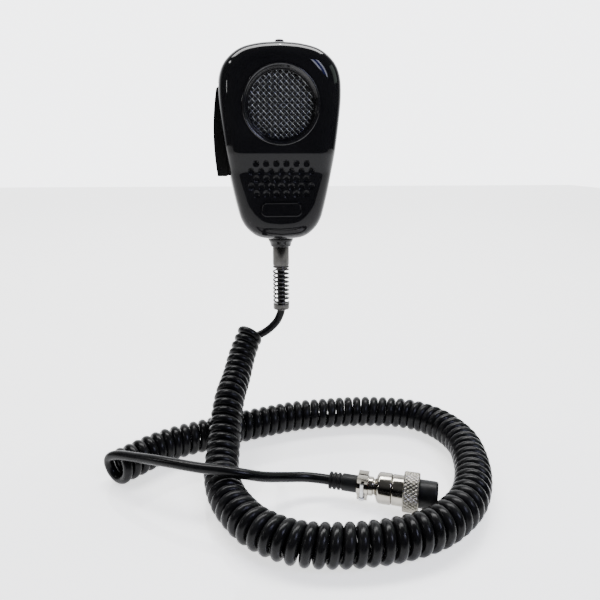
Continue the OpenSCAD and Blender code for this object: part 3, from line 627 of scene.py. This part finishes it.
def recessed(x, z, back):
    # flat-bottomed recess with softened walls, where one lies
    row = round((grip["firstZ"] - z) / grip["pitchZ"])
    if row < -1 or row > grip["rows"] - 2:
        return back
    seven = abs(row) % 2 == 0
    spots = 3 if seven else 2.5
    i = min(max(round(x / grip["pitchX"] + spots), 0), 6 if seven else 5)
    centreZ = grip["firstZ"] - row * grip["pitchZ"]
    away = math.hypot(x - (i - spots) * grip["pitchX"], z - centreZ)
    t = min(max((grip["radius"] + grip["soft"] / 2 - away) / grip["soft"], 0), 1)
    bottom = smoothMax(back, facePlane(centreZ) + grip["deep"], grip["blend"])
    return back + (bottom - back) * t * t * (3 - 2 * t)


def bowlRow(depth, edge, turn, extra=0):
    # inset and depth of a bowl's rounding at a share of its quarter turn
    angle = turn * math.pi / 2
    inset = extra + shell["draft"] + (edge - shell["draft"]) * (1 - math.cos(angle))
    return inset, depth - edge + edge * math.sin(angle)


def wallRows(arcRows, innerRows):
    # rows of the grid from the outer rounding over the rim to the inner rounding
    rows = [("arc", 1 - k / arcRows) for k in range(arcRows + 1)]
    rows += [("side", 0.66), ("side", 0.33)]
    rows += [("rim", shell["rimShare"]), ("rim", shell["rimShare"] / 2), ("rim", 0)]
    rows += [("lip", 0), ("inside", 0)]
    return rows + [("inArc", k / innerRows) for k in range(innerRows + 1)]


def wallAt(kind, t, share, full, edge):
    # place and depth of a point on one of those rows
    wall = shell["wall"]
    if kind == "arc":
        inset, depth = bowlRow(full, edge, t)
        return outlineAt(share, inset), depth
    if kind == "inArc":
        inset, depth = bowlRow(full - wall, edge - wall / 2, t, wall)
        return outlineAt(share, inset), depth
    if kind == "side":
        return outlineAt(share, shell["draft"] * t), (full - edge) * t
    if kind == "rim":
        turn = t / shell["rimShare"] * math.pi / 2
        return (outlineAt(share, shell["rim"] * (1 - math.sin(turn))),
                shell["rim"] * (1 - math.cos(turn)))
    if kind == "lip":
        return outlineAt(share, wall), 0
    return outlineAt(share, wall + shell["draft"]), full - wall - edge


def uprightCut(name, radius, y, reach):
    low, high = reach
    return barrelAt(name, radius * mm, Vector((0, y, low)) * mm, Vector((0, y, high)) * mm)


def sharedCutters():
    # the bar's slot and the gland's two steps, which both shells leave open
    y = shell["parting"]
    return [boxAt("slotCut", Vector(opening["slotLow"]) * mm, Vector(opening["slotHigh"]) * mm),
            uprightCut("glandCut", opening["gland"], y, opening["glandZ"]),
            uprightCut("neckCut", opening["neck"], y, opening["neckZ"])]


def buildFrontShell():
    columns, capRows = 420, 120
    shares = outlineShares(columns)
    full, edge, wall = shell["frontDepth"], shell["frontEdge"], shell["wall"]
    rows = [("cap", k / capRows) for k in range(capRows)]
    rows += wallRows(arcRows=40, innerRows=5) + [("inCap", 0.5), ("inCap", 0), ("cap", 0)]
    count = len(rows) - 1

    def place(across, along):
        share = shares[round(across * columns) % columns]
        kind, t = rows[round(along * count)]
        if kind in ("cap", "inCap"):
            inner = edge - wall / 2
            outer = outlineAt(share, edge if kind == "cap" else inner + wall)
            toward = Vector((outer.x, 0, outer.z - shell["grilleZ"])).normalized()
            start = Vector((0, 0, shell["grilleZ"])) + toward * shell["bore"]
            spot = start.lerp(outer, t)
            depth = full if kind == "cap" else full - wall
        else:
            spot, depth = wallAt(kind, t, share, full, edge)
        depth *= 1 - facePlane(spot.z) / full
        back = full - depth
        if kind in ("cap", "arc") and back < grip["within"]:
            back = recessed(spot.x, spot.z, back)
        return Vector((spot.x, shell["parting"] - full + back, spot.z)) * mm

    piece = mouldGrid("frontShell", columns, count, place)
    cutWith(piece, sharedCutters())
    cutWith(piece, [uprightCut("lampCut", opening["lamp"], opening["lampY"], opening["lampZ"])])
    smoothIt(piece, 42)
    return piece


def buildRearShell():
    columns, capRows = 256, 10
    shares = outlineShares(columns)
    full, edge, wall = shell["backDepth"], shell["backEdge"], shell["wall"]
    rows = [("cap", k / capRows) for k in range(capRows)]
    rows += wallRows(arcRows=20, innerRows=6) + [("inCap", 0.5), ("inCap", 0)]
    count = len(rows) - 1
    centre = Vector((0, 0, middleZ))

    def place(across, along):
        share = shares[round(across * columns) % columns]
        kind, t = rows[round(along * count)]
        if kind == "cap":
            spot, depth = centre.lerp(outlineAt(share, edge), t), full
        elif kind == "inCap":
            spot = centre.lerp(outlineAt(share, edge + wall / 2), t)
            depth = full - wall
        else:
            spot, depth = wallAt(kind, t, share, full, edge)
        return Vector((spot.x, shell["parting"] + max(depth, 0), spot.z)) * mm

    piece = mouldGrid("rearShell", columns, count, place)
    cutters = sharedCutters()
    inner, outer = opening["screwY"]
    for x, z in opening["screws"]:
        cutters.append(barrelAt("screwCut", opening["screw"] * mm, Vector((x, inner, z)) * mm,
                                Vector((x, outer, z)) * mm, 48))
    cutWith(piece, cutters)
    smoothIt(piece, 42)
    return piece


frontShell = buildFrontShell()
stands(frontShell, "front_shell", "mic", blackGloss)
rearShell = buildRearShell()
stands(rearShell, "rear_shell", "mic", blackRear)
print("shells", len(frontShell.data.polygons), len(rearShell.data.polygons))

# grille: lip ring and woven wire, depths counted from the face inward
grille = {"face": -36, "z": 2.5, "reach": 17.9, "wire": 0.21, "pitch": 2.1, "wave": 0.22,
          "weave": 3.9, "wiresASide": 8, "perPitch": 5}
grilleAt = Vector((0, grille["face"], grille["z"])) * mm
inward = Vector((0, 1, 0))
ringProfile = [
    (18.5, 0.35), (18.9, -0.1), (19.25, -0.5), (19.8, -0.72), (20.25, -0.5), (20.4, -0.02),
    (19.4, -0.02), (19.4, 3.4), (17, 3.4), (17, 2.6), (18.1, 2.6), (18.25, 1.3), (18.5, 1.15)]
lipRing = latheIt("grilleRing", ringProfile, grilleAt, inward, 192, 0.25)
stands(lipRing, "grille_ring", "mic", ringGloss)


def buildWeave():
    wires = []
    count = grille["wiresASide"]
    for family in (1, -1):
        along = Vector((1, 0, family)).normalized()
        across = Vector((1, 0, -family)).normalized()
        for i in range(-count, count + 1):
            offset = i * grille["pitch"]
            half = math.sqrt(grille["reach"] ** 2 - offset ** 2)
            steps = round(2 * half / grille["pitch"] * grille["perPitch"])
            points = []
            for k in range(steps + 1):
                s = -half + 2 * half * k / steps
                lift = family * grille["wave"] * math.cos(math.pi * (s / grille["pitch"] + i))
                points.append(grilleAt + (along * s + across * offset
                                          + inward * (grille["weave"] + lift)) * mm)
            wire = wireMesh("wire", points, grille["wire"] * mm, 2)
            # wires running down to the right get the lighter copy, a painted highlight; wires
            # running up to the right get the darker copy, painted shade (the rim below also uses it)
            dress(wire, wireSteelPaintedHighlight if family < 0 else wireSteelPaintedShade)
            wires.append(wire)
    rim = latheIt("wireRim", [(17.2, 3.45), (18.9, 3.45), (18.9, 4.4), (17.2, 4.4)],
                  grilleAt, inward, 96, 0.1)
    dress(rim, wireSteelPaintedShade)
    return joinPieces(wires + [rim], "wovenMesh")


weave = buildWeave()
stands(weave, "grille_mesh", "mic", None)
print("grille ready")

# badge: blank, with a fine raised border
badge = {"width": 22.5, "height": 8, "z": -51.4, "face": -33.2, "back": -32.42, "corner": 3.2,
         "margin": 0.7, "border": 0.25, "sunk": 0.18}


def buildBadge():
    low = Vector((-badge["width"] / 2, badge["face"], badge["z"] - badge["height"] / 2)) * mm
    high = Vector((badge["width"] / 2, badge["back"], badge["z"] + badge["height"] / 2)) * mm
    piece = boxAt("badge", low, high)
    pick(piece)
    bpy.ops.object.mode_set(mode="EDIT")
    bpy.ops.mesh.select_mode(type="EDGE")
    bpy.ops.mesh.select_all(action="DESELECT")
    frameMesh = bmesh.from_edit_mesh(piece.data)
    for edge in frameMesh.edges:
        a, b = edge.verts
        edge.select = abs(a.co.y - b.co.y) > 1e-5
    bmesh.update_edit_mesh(piece.data)
    bpy.ops.mesh.bevel(offset=badge["corner"] * mm, segments=12)
    bpy.ops.mesh.select_mode(type="FACE")
    bpy.ops.mesh.select_all(action="DESELECT")
    frameMesh = bmesh.from_edit_mesh(piece.data)
    for face in frameMesh.faces:
        face.select = face.normal.y < -0.9
    bmesh.update_edit_mesh(piece.data)
    bpy.ops.mesh.inset(thickness=badge["margin"] * mm, depth=0)
    bpy.ops.mesh.inset(thickness=badge["border"] * mm, depth=-badge["sunk"] * mm)
    bpy.ops.object.mode_set(mode="OBJECT")
    softenEdges(piece, 0.12 * mm, 2, 40)
    smoothIt(piece, 35)
    return piece


badgePiece = buildBadge()
stands(badgePiece, "badge_plate", "mic", blackGloss)

# lamp: a low dome on the top edge
lampProfile = [(0, -2), (1.65, -2), (1.65, -0.4), (2.4, -0.4), (2.35, 0.3), (1.9, 0.72), (1.1, 0.98),
               (0, 1.06)]
lampPiece = latheIt("lampDome", lampProfile, Vector((0, opening["lampY"], 35)) * mm,
                    Vector((0, 0, 1)), 48, 0.1, closed=False)
stands(lampPiece, "indicator_lamp", "mic", lampTint)

# press-to-talk bar: bowed outer face, chamfered top end
bar = {"front": -23, "back": -11, "top": 14, "bottom": -34, "inner": -29.4, "bow": 140,
       "out": -36.1, "bowZ": -14, "round": 0.9, "pivot": (-30, 10.5), "boss": 3.2,
       "chamferAt": (-35.2, -17, 10.2), "chamferTurn": -42, "cheek": 2.7, "blank": -42,
       "nubLow": (-30.4, -19, -19), "nubHigh": (-27.5, -15, -16)}


def buildBar():
    piece = boxAt("talkBar", Vector((bar["blank"], bar["front"], bar["bottom"])) * mm,
                  Vector((bar["inner"], bar["back"], bar["top"])) * mm)
    bowAt = bar["out"] + bar["bow"]
    bow = barrelAt("bow", bar["bow"] * mm, Vector((bowAt, -40, bar["bowZ"])) * mm,
                   Vector((bowAt, 0, bar["bowZ"])) * mm, 900)
    combine(piece, bow, "INTERSECT")
    topCut = boxAt("topCut", Vector((-9, -20, 0)) * mm, Vector((9, 20, 16)) * mm)
    topCut.rotation_euler = (0, math.radians(bar["chamferTurn"]), 0)
    topCut.location = Vector(bar["chamferAt"]) * mm
    cutWith(piece, [topCut])
    softenEdges(piece, bar["round"] * mm, 4, 25)
    pivotX, pivotZ = bar["pivot"]
    boss = barrelAt("boss", bar["boss"] * mm, Vector((pivotX, bar["front"] + 0.6, pivotZ)) * mm,
                    Vector((pivotX, bar["back"] - 0.6, pivotZ)) * mm)
    nub = boxAt("nub", Vector(bar["nubLow"]) * mm, Vector(bar["nubHigh"]) * mm)
    cheeks = [boxAt("cheek", Vector((-30.4, y, bar["bottom"] + 0.5)) * mm,
                    Vector((-27.6, y + bar["cheek"], bar["bottom"] + 12)) * mm)
              for y in (bar["front"] + 0.02, bar["back"] - 2.72)]
    piece = joinPieces([piece, boss, nub] + cheeks, "talkBar")
    smoothIt(piece, 30)
    return piece


barPiece = buildBar()
stands(barPiece, "ptt_bar", "ptt_bar", blackBar)
print("bar ready")

# gland and strain relief, turned about the cord
relief = {"y": -17, "sleeve": 4.85, "wire": 0.55, "pitch": 2.5, "top": -86.6,
          "bottom": -108.6, "perTurn": 28}
cordAxis = Vector((0, 0, 1))
cordFoot = Vector((0, relief["y"], 0)) * mm
gland = latheIt("gland", [
    (2.5, -65), (7.3, -65), (7.3, -66), (6.3, -66), (6.3, -69.1), (7.3, -69.1), (7.3, -70.4, 0.6),
    (6.2, -72.2, 1.2), (5.9, -74.1, 0.5), (2.5, -74.1)], cordFoot, cordAxis, 96, 0.2)
stands(gland, "cord_gland", "mic", blackBar)
# sleeve, ferrule and spring wear the darkened nickel, painted shade
sleeve = latheIt("reliefSleeve", [
    (2.5, -74.12), (4.85, -74.12), (4.85, -85.1), (4.55, -85.3), (4.55, -85.8), (4.85, -86),
    (4.85, -86.6), (2.5, -86.6)], cordFoot, cordAxis, 96, 0.15)
stands(sleeve, "relief_sleeve", "mic", reliefNickelPaintedShade)
ferrule = latheIt("reliefFerrule", [
    (2.5, -108.62), (4.85, -108.62), (4.85, -112.1, 0.6), (2.5, -112.1)],
    cordFoot, cordAxis, 96, 0.3)
stands(ferrule, "relief_ferrule", "mic", reliefNickelPaintedShade)


def buildReliefSpring():
    run = relief["top"] - relief["bottom"] - 2 * relief["wire"]
    turns = run / relief["pitch"]
    steps = round(turns * relief["perTurn"])
    wound = relief["sleeve"] + 0.1 - relief["wire"]
    points = []
    for k in range(steps + 1):
        angle = -2 * math.pi * turns * k / steps
        points.append(Vector((wound * math.cos(angle), relief["y"] + wound * math.sin(angle),
                              relief["bottom"] + relief["wire"] + run * k / steps)) * mm)
    return wireMesh("reliefSpring", points, relief["wire"] * mm, 3)


reliefSpring = buildReliefSpring()
stands(reliefSpring, "relief_spring", "mic", reliefNickelPaintedShade)
print("relief ready")

# plug pieces, turned about its axis; places are millimetres from the boot's start
boot = latheIt("plugBoot", [
    (2.5, 0), (3.9, 0), (3.9, 1.1), (3.2, 1.2), (3.2, 1.9), (3.9, 2), (3.9, 3.1), (3.2, 3.2),
    (3.2, 3.9), (3.9, 4), (3.9, 5.1), (3.2, 5.2), (3.2, 5.9), (3.9, 6), (3.9, 15), (2.5, 15)],
    plugStart, plugAxis, 72, 0.25)
stands(boot, "plug_boot", "mic", bootBlack)
rearBarrel = latheIt("rearBarrel", [
    (2.7, 18.05), (4.2, 18.05), (4.2, 20), (3.5, 20.3), (3.5, 20.9), (4.2, 21.2), (5.95, 22),
    (6.9, 22.8, 0.6), (6.9, 28.1), (6.55, 28.5), (5.35, 28.5), (5.35, 23.6), (2.7, 23.6)],
    plugStart, plugAxis, 128, 0.2)
stands(rearBarrel, "plug_shell", "mic", nickel)
frontBarrel = latheIt("frontBarrel", [
    (5.45, 28.52), (6.4, 28.52), (6.75, 29, 0.3), (6.75, 39.7), (6.5, 40), (5.45, 40)],
    plugStart, plugAxis, 128, 0.2)
stands(frontBarrel, "plug_sleeve", "mic", nickel)


contact = {"count": 4, "first": 135, "circle": 2.9, "hole": 1.25}


def buildInsert():
    piece = latheIt("plugInsert", [
        (0, 30), (5.4, 30), (5.4, 40.02), (6.2, 40.02), (6.2, 47.7, 0.5), (5.6, 48.5, 0.3),
        (0, 48.5)], plugStart, plugAxis, 96, 0.2, closed=False)
    up = Vector((0, 0, 1))
    side = up.cross(plugAxis)
    cutters = []
    for i in range(contact["count"]):
        angle = math.radians(contact["first"] + 360 / contact["count"] * i)
        at = plugStart + (side * math.cos(angle) + up * math.sin(angle)) * contact["circle"] * mm
        cutters.append(barrelAt("hole", contact["hole"] * mm, at + plugAxis * 29 * mm,
                                at + plugAxis * 50 * mm, 32))
    cutWith(piece, cutters)
    smoothIt(piece, 40)
    return piece


insertPiece = buildInsert()
stands(insertPiece, "plug_insert", "mic", insertBlack)


clamp = {"start": 13, "end": 18, "radius": 4.6, "bore": 3.95, "ears": (2.3, 3.6, 5.3),
         "split": (5, 0.4, 9), "round": 0.3}


def buildClamp():
    # a band with an ear above and one below, split upright along the plug's axis
    middle = (clamp["start"] + clamp["end"]) / 2
    place = Matrix.Translation(plugStart + plugAxis * middle * mm) @ Matrix.Rotation(
        math.radians(plug["turn"]), 4, "Z")
    piece = barrelAt("clampBand", clamp["radius"] * mm, plugStart + plugAxis * clamp["start"] * mm,
                     plugStart + plugAxis * clamp["end"] * mm, 72)
    ears = boxAt("clampEars", Vector(clamp["ears"]) * -mm, Vector(clamp["ears"]) * mm)
    ears.matrix_world = place
    settle(ears)
    combine(piece, ears, "UNION")
    split = boxAt("split", Vector(clamp["split"]) * -mm, Vector(clamp["split"]) * mm)
    split.matrix_world = place
    bore = barrelAt("bore", clamp["bore"] * mm, plugStart + plugAxis * 10 * mm,
                    plugStart + plugAxis * 20 * mm, 72)
    cutWith(piece, [bore, split])
    softenEdges(piece, clamp["round"] * mm, 3, 30)
    smoothIt(piece, 35)
    return piece


clampPiece = buildClamp()
stands(clampPiece, "plug_clamp", "mic", nickel)


knurl = {"lines": 32, "deep": 0.4, "radius": 8.8, "start": 33.5, "slant": 0.75, "sharp": 1.6,
         "columns": 576, "rows": 44, "first": 0.6, "run": 5.8}


def buildNut():
    # closed section swept round the plug, its outside pressed into diamonds
    section = [(7.05, 0), (8.1, 0), (8.45, 0.12), (8.72, 0.42)]
    section += [(knurl["radius"], knurl["first"] + knurl["run"] * k / knurl["rows"])
                for k in range(knurl["rows"] + 1)]
    section += [(8.72, 6.58), (8.45, 6.88), (8.1, 7), (7.9, 6.9), (7.9, 1), (7.05, 1), (7.05, 0)]
    up = Vector((0, 0, 1))
    side = up.cross(plugAxis)
    origin = plugStart + plugAxis * knurl["start"] * mm

    def place(across, along):
        radius, at = section[round(along * (len(section) - 1))]
        angle = 2 * math.pi * across
        if radius == knurl["radius"]:
            turn = knurl["lines"] * across
            slope = at * knurl["lines"] / (2 * math.pi * knurl["radius"]) * knurl["slant"]
            first = abs((turn + slope) % 1 - 0.5) * 2
            second = abs((turn - slope) % 1 - 0.5) * 2
            radius -= knurl["deep"] * max(1 - first * knurl["sharp"],
                                          1 - second * knurl["sharp"], 0)
        return origin + (side * math.cos(angle) + up * math.sin(angle)) * radius * mm \
            + plugAxis * at * mm

    piece = mouldGrid("couplingNut", knurl["columns"], len(section) - 1, place)
    smoothIt(piece, 50)
    return piece


nutPiece = buildNut()
stands(nutPiece, "coupling_nut", "coupling_nut", knurlNickel)
print("plug ready")

round(lineLength(cordLine) - 0.004, 2)

# hang stud on the back
studProfile = [
    (0, 2.6), (6.3, 2.6, 0.9), (6.3, 0, 0.35), (3.2, 0), (3.2, -2.38), (5, -2.4, 0.15), (5, -2.98),
    (0, -2.98)]
stud = latheIt("hangStud", studProfile, Vector((0, 0, 0)), Vector((0, 1, 0)), 96, 0.3, closed=False)
stands(stud, "hang_stud", "mic", nickel)

# everything hidden in the case, and the small metal parts, keep their CAD shape
lookOf = {
    "foam_screen": foamBlack, "capsule_can": aluminium, "capsule_gasket": bootBlack,
    "ptt_pivot_pin": screwSteel, "ptt_spring": screwSteel, "switch_body": mouldedDark,
    "switch_plunger": mouldedPale, "circuit_board": boardGreen, "board_components": mouldedDark,
    "board_screws": screwSteel, "hookup_wires": wireRed, "case_screws": screwSteel,
    "hang_stud_screw": screwSteel, "cord_crimp": brass, "clamp_screws": screwSteel,
    "plug_contacts": brass, "plug_wires": wireRed, "plug_set_screw": screwSteel,
    "nut_clip": screwSteel}
for nodeName, material in lookOf.items():
    dress(nodes[nodeName], material)
